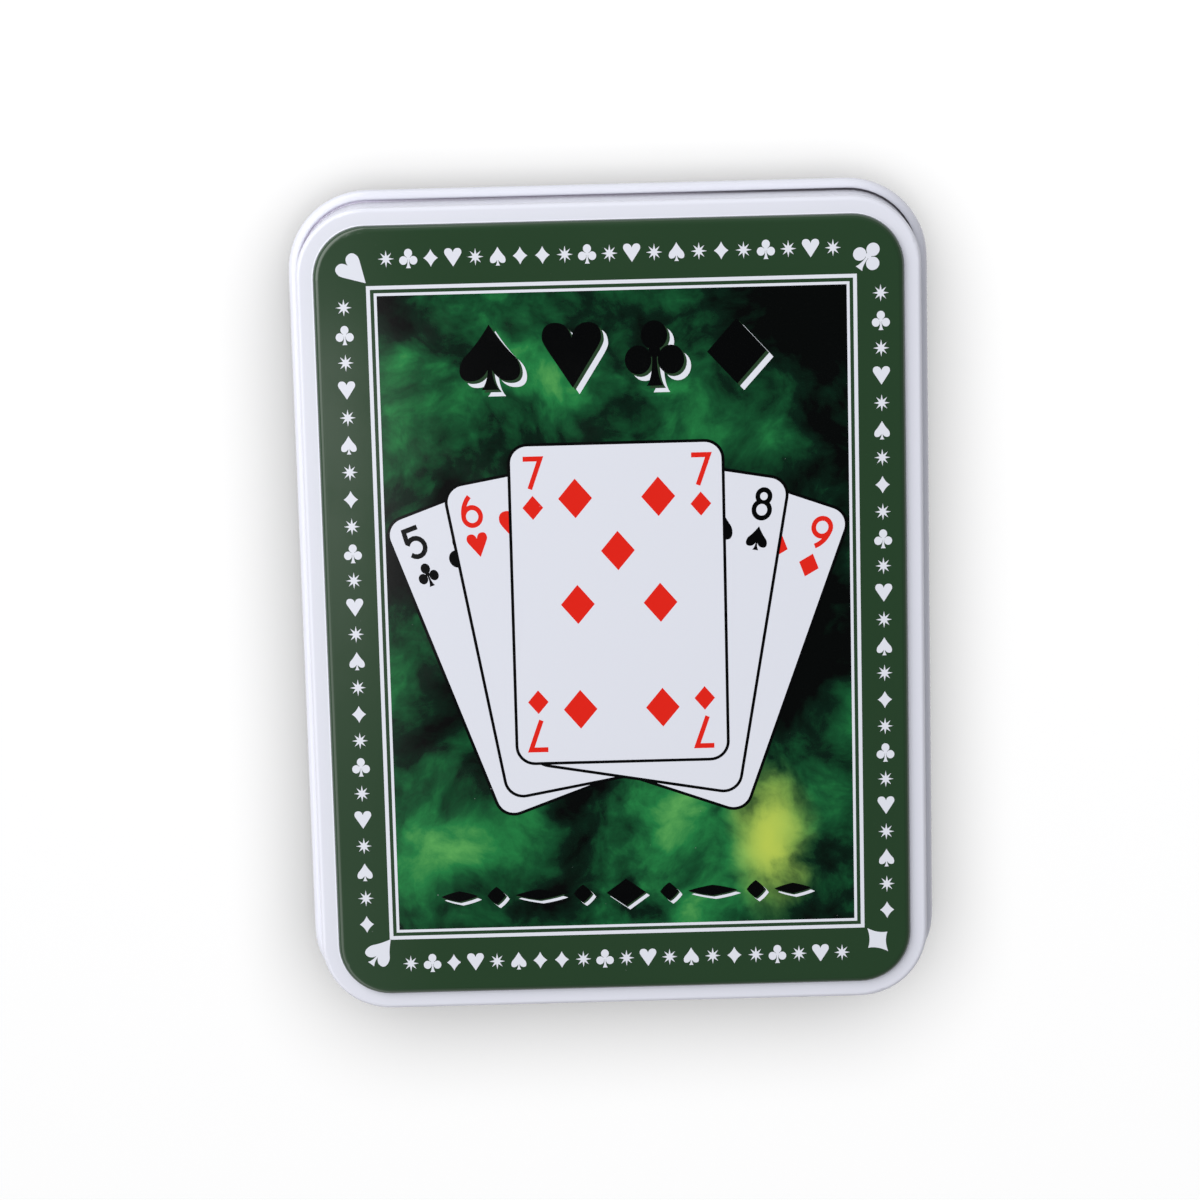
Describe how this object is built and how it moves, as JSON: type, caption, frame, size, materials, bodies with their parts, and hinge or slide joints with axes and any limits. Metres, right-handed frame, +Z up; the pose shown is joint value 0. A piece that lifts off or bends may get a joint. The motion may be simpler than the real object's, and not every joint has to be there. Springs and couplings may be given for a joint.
{
  "type": "card game tin with hinged lid",
  "caption": "Flat rectangular tinplate box with rounded corners, a raised-panel lid hinged on wires along a short side, and stacked cards in a plastic tray.",
  "frame": {"origin": "centre of the tin's bounding box at the level of the surface it stands on", "axes": "+Z up through the lid, +Y along the long side towards the top of the printed panel, +X along the short side to the right of the panel; the hinge runs along the -Y side"},
  "size_m": [0.102, 0.1344, 0.0246],
  "materials": {
    "white_enamel": "white enamelled tinplate, glossy, bare tin inside",
    "green_print": "dark green lithographed tinplate with white ornament and a clear gloss varnish",
    "wire_steel": "drawn bright steel wire",
    "tray_plastic": "black thermoformed sheet, flocked",
    "card_plastic": "white plastic card with printed face and back"
  },
  "bodies": {
    "base": {"base_shell": "white_enamel", "hinge_wire_left": "wire_steel", "hinge_wire_right": "wire_steel", "card_tray": "tray_plastic", "deck_a_spades": "card_plastic", "deck_a_hearts": "card_plastic", "deck_a_clubs": "card_plastic", "deck_a_diamonds": "card_plastic", "deck_a_jokers": "card_plastic", "deck_b_spades": "card_plastic", "deck_b_hearts": "card_plastic", "deck_b_clubs": "card_plastic", "deck_b_diamonds": "card_plastic", "deck_b_jokers": "card_plastic"},
    "lid": {"lid_shell": "green_print"}
  },
  "joints": [
    {"name": "lid_hinge", "type": "hinge", "parent": "base", "child": "lid", "pos_m": [0, -0.06599, 0.01259], "axis": [1, 0, 0], "range_deg": [0, 120]}
  ]
}
